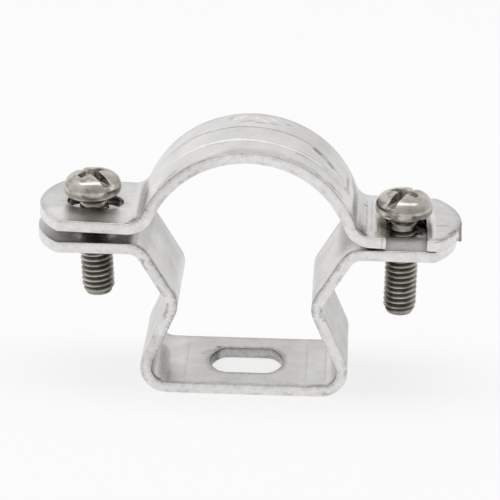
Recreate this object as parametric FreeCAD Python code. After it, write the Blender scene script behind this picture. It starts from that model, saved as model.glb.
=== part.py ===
"""Conduit strap: a formed base bracket, a swing-over top strap and their two M6 screws.

Frame, in millimetres: X runs from the hinge screw (-X) to the lock screw (+X), Y runs along the
conduit, Z points up. The origin is at the middle of the bracket's underside.
"""
import FreeCAD, Part
import math
import os

from FreeCAD import Vector

# ---- Sheet metal shared by the bracket and the strap ----
sheet = 2.0                 # thickness
strip_width = 20.0          # size along Y
ear_end_radius = 14.2       # rounding of the ears' ends, seen from above

# ---- Base bracket (outside sizes) ----
base_length = 75.0          # from end to end over the ears
foot_width = 42.2           # where the legs' outer faces would meet the bottom
neck_width = 27.2           # where they meet the cradle's sloping sides, its narrowest place
neck_height = 17.35         # of the narrowest place above the bottom
cradle_width = 38.7         # where the sloping sides meet the ears' undersides
ear_height = 26.9           # underside of the ears above the bottom
foot_bend_radius = 2.8      # inside radii of the bends
neck_bend_radius = 2.5
ear_bend_radius = 2.2
fixing_slot_length = 13.5   # slot with round ends, struck from one circle of this diameter
fixing_slot_width = 9.8

# ---- Top strap ----
strap_length = 75.4         # from end to end over the ears
arc_radius = 18.1           # inside of the arc over the conduit
arc_rise = 14.65            # inside of the crown above the ears' undersides
strap_bend_radius = 3.0     # inside radius where the arc meets the ears
rib_width = 6.7             # stiffening rib pressed out along the middle of the arc
rib_height = 0.35
rib_draft = 0.5             # its groove under the arc is this much narrower on each side
rib_left_angle = 50.0       # where the rib fades out, in degrees from the crown
rib_right_angle = 61.0
hinge_hole_length = 10.0    # long hole that the strap turns about
hinge_hole_width = 6.4
hinge_hole_offset = -0.2    # its middle lies this far beyond the screw spacing, towards -X
fork_width = 7.2            # open slot that takes the lock screw, its mouth at -Y
fork_offset = 0.2           # its middle lies this far beyond the screw spacing

# ---- Screws, M6 pan head with a slot and a cross ----
screw_spacing = 55.2
screw_offset = 0.2          # the pair of tapped holes lies this far off the middle, towards +X
thread_diameter = 5.9       # over the crests
screw_length = 18.9         # under the head
neck_diameter = 5.0         # plain stretch under the head
neck_length = 2.2
tip_chamfer = 0.7           # on the radius
tip_length = 1.3
head_diameter = 10.25
head_height = 4.6
head_seat_rounding = 0.7    # radius between the seat and the head's upright side
head_side_start = 1.45      # height of the upright side's top above the seat
head_side_rounding = 2.2    # radius from there up to the domed crown
drive_slot_width = 1.7
drive_slot_depth = 1.85
cross_length = 5.8
cross_width = 1.6
cross_depth = 2.5
hinge_drive_angle = -51.0   # direction of each screw's slot, in degrees from +X
lock_drive_angle = 60.0

# ---- Fits ----
thread_clearance = 0.05     # screw to tapped hole, on the radius
swing_clearance = 0.1       # fork to lock screw while the strap swings, on the radius

# ---- How the loosened strap lies ----
strap_tilt = 1.7            # degrees: the hinge end is lifted, the lock end rests on the bracket
strap_shift = 0.5           # the strap's middle lies this far from the bracket's, towards +X
rest_gap = 0.02             # between the strap and the end of the ear that it rests on
hinge_head_gap = 1.4        # seat of each head above the strap's ear, on the screw's axis
lock_head_gap = 0.75

# ---- Derived places ----
hinge_x = screw_offset - screw_spacing / 2
lock_x = screw_offset + screw_spacing / 2
base_ear_top = ear_height + sheet
cut_margin = 1.0            # how far cutting tools stand out of what they cut

same_point = 1e-6           # ends of edges nearer than this are one point

ORIGIN = Vector(0, 0, 0)
UP = Vector(0, 0, 1)
ALONG = Vector(0, 1, 0)


# ---------------------------------------------------------------- formed sheet

def left_of(direction):
    """Unit vector to the left of a direction in the XZ plane, seen with +X to the right."""
    return Vector(-direction.z, 0, direction.x).normalize()


class Bend:
    """A bend in a traced sheet face. The sheet lies to the left of the direction of travel."""

    def __init__(self, before, after, inside_radius):
        crossed = before.x * after.z - before.z * after.x
        self.turn = 1 if crossed > 0 else -1
        near_is_inside = self.turn < 0
        self.near_radius = inside_radius if near_is_inside else inside_radius + sheet
        self.far_radius = inside_radius + sheet if near_is_inside else inside_radius
        self.first = left_of(before) * -self.turn
        self.last = left_of(after) * -self.turn
        self.middle = (self.first + self.last).normalize()
        self.angle = before.getAngle(after)

    def placed_at(self, centre):
        self.centre = centre
        return self

    def arc(self, radius):
        points = [self.centre + ray * radius for ray in (self.first, self.middle, self.last)]
        return Part.Arc(*points).toShape()


def corner_bend(before, corner, after, inside_radius):
    """Bend that rounds one corner of a traced outline."""
    run_in = (corner - before).normalize()
    run_out = (after - corner).normalize()
    bend = Bend(run_in, run_out, inside_radius)
    reach = bend.near_radius * math.tan(bend.angle / 2)
    start = corner - run_in * reach
    return bend.placed_at(start - bend.first * bend.near_radius)


def joined(start, arcs, end):
    """Straight runs between one point, a row of arcs and another point."""
    edges = []
    here = start
    for arc in arcs:
        if here.distanceToPoint(arc.firstVertex().Point) > same_point:
            edges.append(Part.makeLine(here, arc.firstVertex().Point))
        edges.append(arc)
        here = arc.lastVertex().Point
    edges.append(Part.makeLine(here, end))
    return edges


def bent_strip(start, bends, end):
    """Formed strip from its traced lower face. Both ends are level ears."""
    near = joined(start, [bend.arc(bend.near_radius) for bend in bends], end)
    far_start = start + UP * sheet
    far_end = end + UP * sheet
    far = joined(far_start, [bend.arc(bend.far_radius) for bend in bends], far_end)
    ends = [Part.makeLine(start, far_start), Part.makeLine(end, far_end)]
    outline = Part.Wire(Part.__sortEdges__(near + far + ends))
    profile = Part.Face(outline)
    profile.translate(ALONG * (-strip_width / 2))
    return profile.extrude(ALONG * strip_width)


def round_ended_blank(length, bottom, height):
    """Everything inside the strip's outline seen from above, ears' rounded ends included."""
    half_width = strip_width / 2
    end_depth = ear_end_radius - math.sqrt(ear_end_radius ** 2 - half_width ** 2)
    side_x = length / 2 - end_depth
    corners = [Vector(-side_x, -half_width, bottom), Vector(side_x, -half_width, bottom),
               Vector(side_x, half_width, bottom), Vector(-side_x, half_width, bottom)]
    right_tip = Vector(length / 2, 0, bottom)
    left_tip = Vector(-length / 2, 0, bottom)
    edges = [Part.makeLine(corners[0], corners[1]),
             Part.Arc(corners[1], right_tip, corners[2]).toShape(),
             Part.makeLine(corners[2], corners[3]),
             Part.Arc(corners[3], left_tip, corners[0]).toShape()]
    return Part.Face(Part.Wire(edges)).extrude(UP * height)


# ---------------------------------------------------------------- base bracket

def base_bracket():
    """Foot, two legs that lean in to the neck, the open cradle above it and two tapped ears."""
    half = [Vector(cradle_width / 2, 0, ear_height),
            Vector(neck_width / 2, 0, neck_height),
            Vector(foot_width / 2, 0, 0)]
    radii = [ear_bend_radius, neck_bend_radius, foot_bend_radius]
    left = [Vector(-point.x, 0, point.z) for point in half]
    start = Vector(-base_length / 2, 0, ear_height)
    end = Vector(base_length / 2, 0, ear_height)
    outline = [start] + left + half[::-1] + [end]
    bends = [corner_bend(*outline[index:index + 3], radius)
             for index, radius in enumerate(radii + radii[::-1])]
    strip = bent_strip(start, bends, end)
    bracket = strip.common(round_ended_blank(base_length, -cut_margin,
                                             base_ear_top + 2 * cut_margin))
    for x in (hinge_x, lock_x):
        bracket = bracket.cut(tapped_hole(x))
    return bracket.cut(fixing_slot())


def tapped_hole(x):
    radius = thread_diameter / 2 + thread_clearance
    return Part.makeCylinder(radius, sheet + 2 * cut_margin,
                             Vector(x, 0, ear_height - cut_margin))


def fixing_slot():
    """Two flats across a round punch: the slot's ends are one circle."""
    height = sheet + 2 * cut_margin
    punch = Part.makeCylinder(fixing_slot_length / 2, height, Vector(0, 0, -cut_margin))
    flats = Part.makeBox(fixing_slot_length, fixing_slot_width, height,
                         Vector(-fixing_slot_length / 2, -fixing_slot_width / 2, -cut_margin))
    return punch.common(flats)


# ---------------------------------------------------------------- top strap

# The strap is drawn level, its ears' undersides at Z = 0, and then laid on the bracket.
arc_centre = Vector(0, 0, arc_rise - arc_radius)


def at_angle(radius, degrees):
    """Point on a circle about the arc's centre, at an angle from the crown towards +X."""
    angle = math.radians(degrees)
    return arc_centre + Vector(math.sin(angle), 0, math.cos(angle)) * radius


def strap_bends():
    """Ear bend, the long arc and the other ear bend, each running straight into the next."""
    near_radius = strap_bend_radius + sheet
    centre_distance = arc_radius + near_radius
    centre_drop = near_radius - arc_centre.z
    centre_x = math.sqrt(centre_distance ** 2 - centre_drop ** 2)
    arc_angle = math.degrees(math.asin(centre_x / centre_distance))
    slope = math.radians(arc_angle)
    climbing = Vector(math.cos(slope), 0, math.sin(slope))
    falling = Vector(math.cos(slope), 0, -math.sin(slope))
    level = Vector(1, 0, 0)
    left = Bend(level, climbing, strap_bend_radius)
    crown = Bend(climbing, falling, arc_radius)
    right = Bend(falling, level, strap_bend_radius)
    return [left.placed_at(Vector(-centre_x, 0, near_radius)),
            crown.placed_at(arc_centre),
            right.placed_at(Vector(centre_x, 0, near_radius))]


def rib_crescent(radius, width):
    """Thin crescent on a circle of the arc, full height at its middle and nothing at its ends."""
    middle_angle = (rib_right_angle - rib_left_angle) / 2
    ends = [at_angle(radius, -rib_left_angle), at_angle(radius, rib_right_angle)]
    lower = Part.Arc(ends[0], at_angle(radius, middle_angle), ends[1]).toShape()
    upper = Part.Arc(ends[0], at_angle(radius + rib_height, middle_angle), ends[1]).toShape()
    crescent = Part.Face(Part.Wire([lower, upper]))
    crescent.translate(ALONG * (-width / 2))
    return crescent.extrude(ALONG * width)


def hinge_hole():
    """Long hole in the left ear."""
    x = -screw_spacing / 2 + hinge_hole_offset
    radius = hinge_hole_width / 2
    half_run = hinge_hole_length / 2 - radius
    height = sheet + 2 * cut_margin
    ends = [Part.makeCylinder(radius, height, Vector(x + offset, 0, -cut_margin))
            for offset in (-half_run, half_run)]
    middle = Part.makeBox(2 * half_run, hinge_hole_width, height,
                          Vector(x - half_run, -radius, -cut_margin))
    return ends[0].fuse([ends[1], middle])


def fork_slot():
    """Slot in the right ear, open at -Y."""
    x = screw_spacing / 2 + fork_offset
    radius = fork_width / 2
    height = sheet + 2 * cut_margin
    closed_end = Part.makeCylinder(radius, height, Vector(x, 0, -cut_margin))
    mouth_depth = strip_width / 2 + cut_margin
    mouth = Part.makeBox(fork_width, mouth_depth, height,
                         Vector(x - radius, -mouth_depth, -cut_margin))
    return closed_end.fuse(mouth)


def level_strap():
    start = Vector(-strap_length / 2, 0, 0)
    end = Vector(strap_length / 2, 0, 0)
    strip = bent_strip(start, strap_bends(), end)
    height = arc_rise + sheet + 2 * cut_margin
    strap = strip.common(round_ended_blank(strap_length, -cut_margin, height))
    strap = strap.cut(rib_crescent(arc_radius, rib_width - 2 * rib_draft))
    strap = strap.fuse(rib_crescent(arc_radius + sheet, rib_width)).removeSplitter()
    return strap.cut(hinge_hole()).cut(fork_slot())


tilt = math.radians(strap_tilt)
strap_contact = (base_length / 2 - strap_shift) / math.cos(tilt)
strap_origin_z = base_ear_top + rest_gap + math.sin(tilt) * strap_contact


def strap_top_at(x):
    """Height of the upper faces of the lying strap's ears at a place along X."""
    return strap_origin_z + sheet / math.cos(tilt) - math.tan(tilt) * (x - strap_shift)


def lock_screw_path():
    """Where the lock screw leaves the fork while the strap turns about the hinge screw."""
    bottom = base_ear_top - cut_margin
    height = strap_top_at(lock_x) + cut_margin - bottom
    hinge = Vector(hinge_x, 0, bottom)
    reach = thread_diameter / 2 + swing_clearance
    outer = Part.makeCylinder(screw_spacing + reach, height, hinge)
    inner = Part.makeCylinder(screw_spacing - reach, height, hinge)
    depth = strip_width / 2 + cut_margin
    window = Part.makeBox(2 * fork_width, depth, height,
                          Vector(lock_x - fork_width, -depth, bottom))
    return outer.cut(inner).common(window)


def top_strap():
    strap = level_strap()
    strap.rotate(ORIGIN, ALONG, strap_tilt)
    strap.translate(Vector(strap_shift, 0, strap_origin_z))
    return strap.cut(lock_screw_path())


# ---------------------------------------------------------------- screws

def head_outline(neck):
    """Edges from the neck out along the seat, round the side and over the crown to the axis."""
    rim = head_diameter / 2
    seat_centre = Vector(rim - head_seat_rounding, 0, head_seat_rounding)
    side_centre = Vector(rim - head_side_rounding, 0, head_side_start)
    rise = head_height - head_side_start
    crown_radius = ((side_centre.x ** 2 + rise ** 2 - head_side_rounding ** 2)
                    / (2 * (rise - head_side_rounding)))
    crown_centre = Vector(0, 0, head_height - crown_radius)
    crown_angle = math.atan2(side_centre.x, side_centre.z - crown_centre.z)
    level = math.pi / 2

    def arc(centre, radius, first, last):
        angles = (first, (first + last) / 2, last)
        points = [centre + Vector(math.sin(angle), 0, math.cos(angle)) * radius
                  for angle in angles]
        return Part.Arc(*points).toShape()

    seat_end = Vector(seat_centre.x, 0, 0)
    return [Part.makeLine(Vector(neck, 0, 0), seat_end),
            arc(seat_centre, head_seat_rounding, 2 * level, level),
            Part.makeLine(Vector(rim, 0, head_seat_rounding), Vector(rim, 0, head_side_start)),
            arc(side_centre, head_side_rounding, level, crown_angle),
            arc(crown_centre, crown_radius, crown_angle, 0)]


def pan_head_screw(x, seat_z, drive_angle):
    """Screw turned about Z with its head's seat at Z = 0, then put in its place."""
    thread = thread_diameter / 2
    neck = neck_diameter / 2
    bevel = thread - neck
    points = [Vector(0, 0, head_height),
              Vector(0, 0, -screw_length),
              Vector(thread - tip_chamfer, 0, -screw_length),
              Vector(thread, 0, -screw_length + tip_length),
              Vector(thread, 0, -neck_length - bevel),
              Vector(neck, 0, -neck_length),
              Vector(neck, 0, 0)]
    edges = [Part.makeLine(a, b) for a, b in zip(points, points[1:])] + head_outline(neck)
    screw = Part.Face(Part.Wire(edges)).revolve(ORIGIN, UP, 360)
    screw = screw.cut(drive_recess())
    screw.rotate(ORIGIN, UP, drive_angle)
    screw.translate(Vector(x, 0, seat_z))
    return screw


def drive_recess():
    """Screwdriver slot right across the head, and the cross in its middle."""
    slot = centred_box(head_diameter + cut_margin, drive_slot_width, drive_slot_depth)
    across = centred_box(cross_width, cross_length, cross_depth)
    along = centred_box(cross_length, cross_width, cross_depth)
    return slot.fuse([across, along])


def centred_box(length, width, depth):
    """Box that cuts down into the top of a head by a depth."""
    height = depth + cut_margin
    return Part.makeBox(length, width, height,
                        Vector(-length / 2, -width / 2, head_height - depth))


def hinge_screw():
    return pan_head_screw(hinge_x, strap_top_at(hinge_x) + hinge_head_gap, hinge_drive_angle)


def lock_screw():
    return pan_head_screw(lock_x, strap_top_at(lock_x) + lock_head_gap, lock_drive_angle)


# ---------------------------------------------------------------- files

PIECES = {
    "base_bracket": base_bracket,
    "top_strap": top_strap,
    "hinge_screw": hinge_screw,
    "lock_screw": lock_screw,
}

os.makedirs("parts", exist_ok=True)
for name, build in PIECES.items():
    shape = build()
    if shape.ShapeType == "Compound" and len(shape.Solids) == 1:
        shape = shape.Solids[0]
    shape.exportStep(f"parts/{name}.step")
    print(f"{name}: {len(shape.Solids)} solid, {shape.Volume:.1f} mm3, valid {shape.isValid()}")
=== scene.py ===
"""Looks of the conduit strap: the formed sheet with its cut edges and press marks, the threaded
screws, and a plain studio around them. Sizes are in millimetres, and meshes are made in metres.
"""

from math import acos, asin, atan2, ceil, copysign, cos, pi, radians, sin, tan

import bmesh
import bpy
import numpy as np
from mathutils import Matrix, Vector, geometry, kdtree, noise


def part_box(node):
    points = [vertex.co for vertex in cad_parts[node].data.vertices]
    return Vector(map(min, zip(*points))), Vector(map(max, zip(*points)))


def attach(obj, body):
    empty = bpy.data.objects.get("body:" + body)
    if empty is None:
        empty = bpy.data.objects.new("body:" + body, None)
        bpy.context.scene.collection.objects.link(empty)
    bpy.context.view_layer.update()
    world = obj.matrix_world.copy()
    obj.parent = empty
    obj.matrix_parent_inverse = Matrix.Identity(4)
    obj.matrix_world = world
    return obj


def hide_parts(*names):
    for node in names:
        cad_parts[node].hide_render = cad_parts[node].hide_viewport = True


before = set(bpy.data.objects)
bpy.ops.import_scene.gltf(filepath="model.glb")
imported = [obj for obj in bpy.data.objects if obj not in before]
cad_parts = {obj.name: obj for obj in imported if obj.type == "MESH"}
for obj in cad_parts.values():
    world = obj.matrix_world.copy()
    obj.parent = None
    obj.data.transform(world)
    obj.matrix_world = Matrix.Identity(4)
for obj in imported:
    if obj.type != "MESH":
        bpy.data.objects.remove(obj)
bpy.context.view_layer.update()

MM = 0.001

# ---- Sizes of the solids that the pieces here follow ----
SHEET = 2.0
STRIP_WIDTH = 20.0
EAR_END_RADIUS = 14.2
BASE_LENGTH = 75.0
FOOT_WIDTH = 42.2
NECK_WIDTH = 27.2
NECK_HEIGHT = 17.35
CRADLE_WIDTH = 38.7
EAR_HEIGHT = 26.9
FOOT_BEND_RADIUS = 2.8
NECK_BEND_RADIUS = 2.5
EAR_BEND_RADIUS = 2.2
FIXING_SLOT_LENGTH = 13.3
FIXING_SLOT_WIDTH = 10.0
STRAP_LENGTH = 75.4
ARC_RADIUS = 18.1
ARC_RISE = 14.65
STRAP_BEND_RADIUS = 3.0
RIB_HEIGHT = 0.30
RIB_DRAFT = 0.5
RIB_LEFT_ANGLE = 50.0
RIB_RIGHT_ANGLE = 61.0
HINGE_HOLE_LENGTH = 10.0
HINGE_HOLE_WIDTH = 6.4
HINGE_HOLE_OFFSET = -0.2
FORK_WIDTH = 7.2
FORK_OFFSET = 0.2
SCREW_SPACING = 55.2
SCREW_OFFSET = 0.2
TAPPED_RADIUS = 3.0
STRAP_TILT = radians(1.7)
STRAP_SHIFT = 0.5
REST_GAP = 0.02
THREAD_DIAMETER = 5.9
SCREW_LENGTH = 18.9
NECK_DIAMETER = 5.0
NECK_LENGTH = 2.2
HEAD_DIAMETER = 10.25
HEAD_HEIGHT = 4.45
HEAD_SEAT_ROUNDING = 1.1
HEAD_SIDE_START = 1.55  # height of the upright side's top above the seat
HEAD_SIDE_ROUNDING = 2.35

# ---- Finish of the cut edges and of the mesh ----
ROLLED_EDGE = 0.17  # rounding of the edges on the side that the punch came from
SHEARED_EDGE = 0.12  # rounding of the edges on the other side
UPPER_GRID = 0.36  # spacing of the points inside an upper face
LOWER_GRID = 0.7  # and inside a lower face
EDGE_STEP = 0.36  # spacing of the points along an edge
SURFACE_WAVE = 0.02  # how uneven the faces are
EDGE_WAVE = 0.035  # how ragged the cut edges are


def linked(name, data):
    """New object with its data, in the scene."""
    thing = bpy.data.objects.new(name, data)
    bpy.context.collection.objects.link(thing)
    return thing


# ---------------------------------------------------------------- bent sheet

class Path:
    """Lower face of a bent strip in the XZ plane, by distance s along the middle of the sheet."""

    def __init__(self, x, z):
        self.here = np.array([x, z])
        self.heading = 0.0
        self.length = 0.0
        self.runs = []

    def forward(self, distance):
        direction = np.array([cos(self.heading), sin(self.heading)])
        self.runs.append(("line", self.length, distance, self.here, direction))
        self.here = self.here + direction * distance
        self.length += distance

    def bend(self, turn, inside_radius):
        """Turns by an angle, to the left where it is positive. The sheet lies on the left."""
        side = copysign(1.0, turn)
        near = inside_radius + (SHEET if side > 0 else 0.0)
        middle = inside_radius + SHEET / 2
        ray = self.heading - side * pi / 2
        centre = self.here - near * np.array([cos(ray), sin(ray)])
        distance = abs(turn) * middle
        self.runs.append(("arc", self.length, distance, centre, (ray, side, near, middle)))
        ray += turn
        self.here = centre + near * np.array([cos(ray), sin(ray)])
        self.heading += turn
        self.length += distance

    def at(self, s):
        """Points of the lower face and unit normals into the sheet."""
        points = np.zeros((len(s), 2))
        normals = np.zeros((len(s), 2))
        from_start = np.clip(s + self.length / 2, 0, self.length)
        for index, (kind, first, distance, origin, extra) in enumerate(self.runs):
            last = first + distance
            final = index == len(self.runs) - 1
            mask = (from_start >= first) & ((from_start < last) | final)
            along = from_start[mask] - first
            if kind == "line":
                points[mask] = origin + along[:, None] * extra
                normals[mask] = (-extra[1], extra[0])
            else:
                ray, side, near, middle = extra
                angle = ray + side * along / middle
                rays = np.stack([np.cos(angle), np.sin(angle)], 1)
                points[mask] = origin + near * rays
                normals[mask] = -side * rays
        return points, normals


def base_path():
    corners = [(-BASE_LENGTH / 2, EAR_HEIGHT), (-CRADLE_WIDTH / 2, EAR_HEIGHT),
               (-NECK_WIDTH / 2, NECK_HEIGHT), (-FOOT_WIDTH / 2, 0.0), (0.0, 0.0)]
    radii = [EAR_BEND_RADIUS, NECK_BEND_RADIUS, FOOT_BEND_RADIUS]
    corners = np.array(corners)
    runs = corners[1:] - corners[:-1]
    lengths = np.linalg.norm(runs, axis=1)
    headings = np.arctan2(runs[:, 1], runs[:, 0])
    turns = (np.diff(headings) + pi) % (2 * pi) - pi
    nears = [radius + (SHEET if turn > 0 else 0) for radius, turn in zip(radii, turns)]
    reaches = [near * tan(abs(turn) / 2) for near, turn in zip(nears, turns)]
    straight = lengths - np.array([0] + reaches) - np.array(reaches + [0])
    path = Path(*corners[0])
    for length, turn, radius in zip(straight, turns, radii):
        path.forward(length)
        path.bend(turn, radius)
    path.forward(2 * straight[-1])
    for length, turn, radius in zip(straight[-2::-1], turns[::-1], radii[::-1]):
        path.bend(turn, radius)
        path.forward(length)
    return path


def strap_path():
    near = STRAP_BEND_RADIUS + SHEET
    drop = near - (ARC_RISE - ARC_RADIUS)
    slope = acos(drop / (ARC_RADIUS + near))
    ear = STRAP_LENGTH / 2 - (ARC_RADIUS + near) * sin(slope)
    path = Path(-STRAP_LENGTH / 2, 0.0)
    path.forward(ear)
    path.bend(slope, STRAP_BEND_RADIUS)
    path.bend(-2 * slope, ARC_RADIUS)
    path.bend(slope, STRAP_BEND_RADIUS)
    path.forward(ear)
    return path


def sampled(start, end, step=EDGE_STEP):
    """Points from start towards end, without the end."""
    start, end = np.array(start, float), np.array(end, float)
    count = max(1, ceil(np.linalg.norm(end - start) / step))
    return [start + (end - start) * i / count for i in range(count)]


def arc_points(centre, radius, first, last, step=EDGE_STEP):
    """Points on an arc between two angles in radians, without the last."""
    count = max(2, ceil(abs(last - first) * radius / step))
    angles = [first + (last - first) * i / count for i in range(count)]
    return [np.array(centre) + radius * np.array([cos(a), sin(a)]) for a in angles]


def blank_outline(half_length, notch=()):
    """Outline of a strip with rounded ends, anticlockwise. A notch opens its lower side."""
    half_width = STRIP_WIDTH / 2
    half_angle = asin(half_width / EAR_END_RADIUS)
    centre = half_length - EAR_END_RADIUS
    side = centre + EAR_END_RADIUS * cos(half_angle)
    corners = [(-side, -half_width), (side, -half_width), (side, half_width), (-side, half_width)]
    points = []
    if len(notch):
        points += sampled(corners[0], notch[0]) + list(notch)[:-1]
        points += sampled(notch[-1], corners[1])
    else:
        points += sampled(corners[0], corners[1])
    points += arc_points((centre, 0), EAR_END_RADIUS, -half_angle, half_angle)
    points += sampled(corners[2], corners[3])
    points += arc_points((-centre, 0), EAR_END_RADIUS, pi - half_angle, pi + half_angle)
    return np.array(points)


def smoothed(loop, times):
    """The loop with its corners rounded off."""
    for _ in range(times):
        loop = (np.roll(loop, 1, axis=0) + loop + np.roll(loop, -1, axis=0)) / 3
    return loop


def hole(centre, run, radius, half_width):
    """Clockwise outline of two arcs, each at a run from the centre, with flats between them."""
    x, y = centre
    half_angle = asin(half_width / radius)
    side = run + radius * cos(half_angle)
    points = arc_points((x + run, y), radius, half_angle, -half_angle)
    points += sampled((x + side, y - half_width), (x - side, y - half_width))
    points += arc_points((x - run, y), radius, pi + half_angle, pi - half_angle)
    points += sampled((x - side, y + half_width), (x + side, y + half_width))
    return np.array(points)


def inset(loop, distance):
    """Closed loop moved to its left, into the sheet."""
    ahead = np.roll(loop, -1, 0) - loop
    ahead /= np.linalg.norm(ahead, axis=1)[:, None]
    left = np.stack([-ahead[:, 1], ahead[:, 0]], 1)
    before = np.roll(left, 1, 0)
    share = 1 + (left * before).sum(1)[:, None]
    return loop + (left + before) / share * distance


def inside(points, loops):
    """Which points lie inside an odd number of closed loops."""
    result = np.zeros(len(points), bool)
    for first in range(0, len(points), 4000):
        block = points[first:first + 4000]
        odd = np.zeros(len(block), bool)
        for loop in loops:
            a, b = loop, np.roll(loop, -1, 0)
            py = block[:, 1][:, None]
            crosses = (a[:, 1] > py) != (b[:, 1] > py)
            rise = np.where(b[:, 1] == a[:, 1], 1.0, b[:, 1] - a[:, 1])
            at = a[:, 0] + (py - a[:, 1]) / rise * (b[:, 0] - a[:, 0])
            odd ^= (crosses & (block[:, 0][:, None] < at)).sum(1) % 2 == 1
        result[first:first + 4000] = odd
    return result


def loop_edges(loops):
    """Pairs of neighbours round each loop, by their places in all the loops' points."""
    pairs = []
    first = 0
    for loop in loops:
        count = len(loop)
        pairs += [(first + i, first + (i + 1) % count) for i in range(count)]
        first += count
    return pairs


def face_triangles(loops, half, spacing):
    """Triangulated face between loops: loop points first, then the points of a grid."""
    s_lines = np.arange(-half, half, spacing)
    y_lines = np.arange(-STRIP_WIDTH / 2 + spacing, STRIP_WIDTH / 2, spacing)
    grid = np.stack(np.meshgrid(s_lines, y_lines), -1).reshape(-1, 2)
    margin = spacing * 0.45
    grid = grid[inside(grid, [inset(loop, margin) for loop in loops])]
    edge = np.concatenate(loops)
    points = np.concatenate([edge, grid])
    result = geometry.delaunay_2d_cdt([Vector(p) for p in points], loop_edges(loops), [], 0, 1e-6)
    verts = np.array([tuple(v) for v in result[0]])
    if len(verts) != len(points):
        raise ValueError("the face's points fall together")
    origin = np.array([ids[0] for ids in result[3]])
    faces = np.array(result[2])
    centres = verts[faces].mean(1)
    faces = faces[inside(centres, loops)]
    return grid, origin[faces]


def edge_levels():
    """(inset, height) of the rings round an edge, from the upper face down to the lower."""
    upper = [(ROLLED_EDGE * (1 - sin(a)), SHEET - ROLLED_EDGE * (1 - cos(a)))
             for a in np.radians([0, 22.5, 45, 67.5, 90])]
    lower = [(SHEARED_EDGE * (1 - cos(a)), SHEARED_EDGE * (1 - sin(a)))
             for a in np.radians([0, 45, 90])]
    first, last = upper[-1][1], lower[0][1]
    side = [(0.0, first + (last - first) * share) for share in (0.25, 0.5, 0.75)]
    return upper + side + lower


def edge_distance(points, loops):
    """Distance from points to the nearest point of any loop."""
    edge = np.concatenate(loops)
    tree = kdtree.KDTree(len(edge))
    for index, (x, y) in enumerate(edge):
        tree.insert((x, y, 0), index)
    tree.balance()
    return np.array([tree.find((x, y, 0))[2] for x, y in points])


def wave(points, scale, seed):
    """Smooth noise from -1 to 1 at points in the flat sheet."""
    shift = Vector((seed * 17.3, seed * 5.1, seed * 9.7))
    return np.array([noise.noise(Vector((p[0] * scale, p[1] * scale, 0.0)) + shift)
                     for p in points])


def marked(flat, marks, column):
    """Sum of marks at points of the blank. A mark fades out across itself and ends squarely.

    Each is (s, y, half length, half width, turn in degrees, height in mm, shade), and its length
    runs along s when it isn't turned. The column picks its height or its shade.
    """
    total = np.zeros(len(flat))
    for mark in marks:
        s, y, long, wide, turn = mark[:5]
        cosine, sine = cos(radians(turn)), sin(radians(turn))
        from_s, from_y = flat[:, 0] - s, flat[:, 1] - y
        along = (from_s * cosine + from_y * sine) / long
        across = (from_y * cosine - from_s * sine) / wide
        total += mark[column] * np.clip(1 - along ** 6 - across ** 2, 0, None)
    return total


def add_layers(mesh, **layers):
    """Stores values at the mesh's points, for the materials."""
    for label, values in layers.items():
        values = np.asarray(values, np.float32)
        flat_kind = values.ndim == 1
        layer = mesh.attributes.new(label, "FLOAT" if flat_kind else "FLOAT_VECTOR", "POINT")
        layer.data.foreach_set("value" if flat_kind else "vector", values.ravel())


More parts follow.
